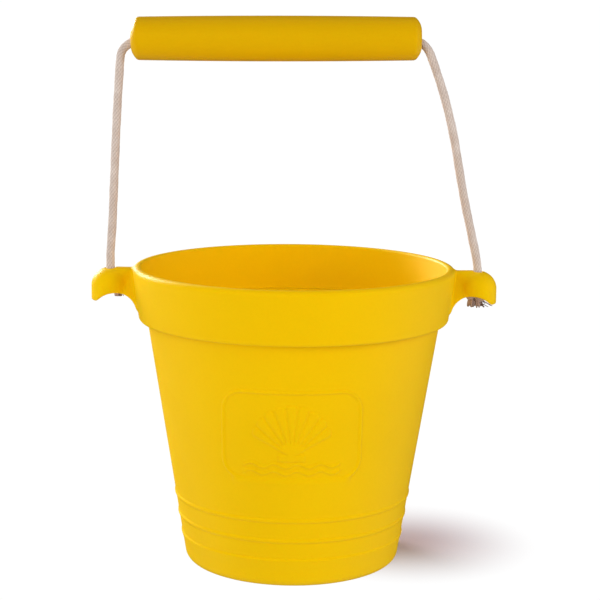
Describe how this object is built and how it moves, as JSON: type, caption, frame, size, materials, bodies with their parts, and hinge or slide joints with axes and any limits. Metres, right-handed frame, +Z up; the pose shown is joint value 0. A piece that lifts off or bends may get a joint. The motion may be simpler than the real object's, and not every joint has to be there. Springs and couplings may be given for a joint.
{
  "type": "sand bucket",
  "caption": "Soft tapered silicone sand bucket with a deep collar and two hooded ears, carried by a cotton rope bail through a tube grip.",
  "frame": {"origin": "middle of the foot ring, on the surface that the bucket stands on", "axes": "+Z up along the bucket's axis; +X from the left ear to the right ear; -Y towards the front, where the raised emblem is"},
  "size_m": [0.1822, 0.1444, 0.2452],
  "materials": {
    "bucket_silicone": "matte silicone",
    "grip_silicone": "matte silicone",
    "cotton_rope": "braided cotton",
    "frayed_cotton": "frayed cotton"
  },
  "bodies": {
    "bucket": {"bucket": "bucket_silicone", "rope_in_ear_left": "cotton_rope", "rope_in_ear_right": "cotton_rope", "rope_knot_left": "cotton_rope", "rope_knot_right": "cotton_rope", "rope_fray_left": "frayed_cotton", "rope_fray_right": "frayed_cotton"},
    "bail": {"rope_bend_left": "cotton_rope", "rope_bend_right": "cotton_rope"},
    "bail_top": {"rope_leg_left": "cotton_rope", "rope_leg_right": "cotton_rope", "rope_in_grip": "cotton_rope"},
    "grip": {"grip": "grip_silicone"}
  },
  "joints": [
    {"name": "bail_swing", "type": "hinge", "parent": "bucket", "child": "bail", "pos_m": [0, 0, 0.133], "axis": [1, 0, 0], "range_deg": [-135, 135], "deforming": ["rope_bend_left", "rope_bend_right"]},
    {"name": "bail_sway", "type": "slide", "parent": "bail", "child": "bail_top", "axis": [1, 0, 0], "range_m": [-0.008, 0.025], "deforming": ["rope_leg_left", "rope_leg_right"]},
    {"name": "grip_spin", "type": "hinge", "parent": "bail_top", "child": "grip", "pos_m": [-0.0088, 0, 0.2351], "axis": [1, 0, 0.0087], "continuous": true}
  ]
}
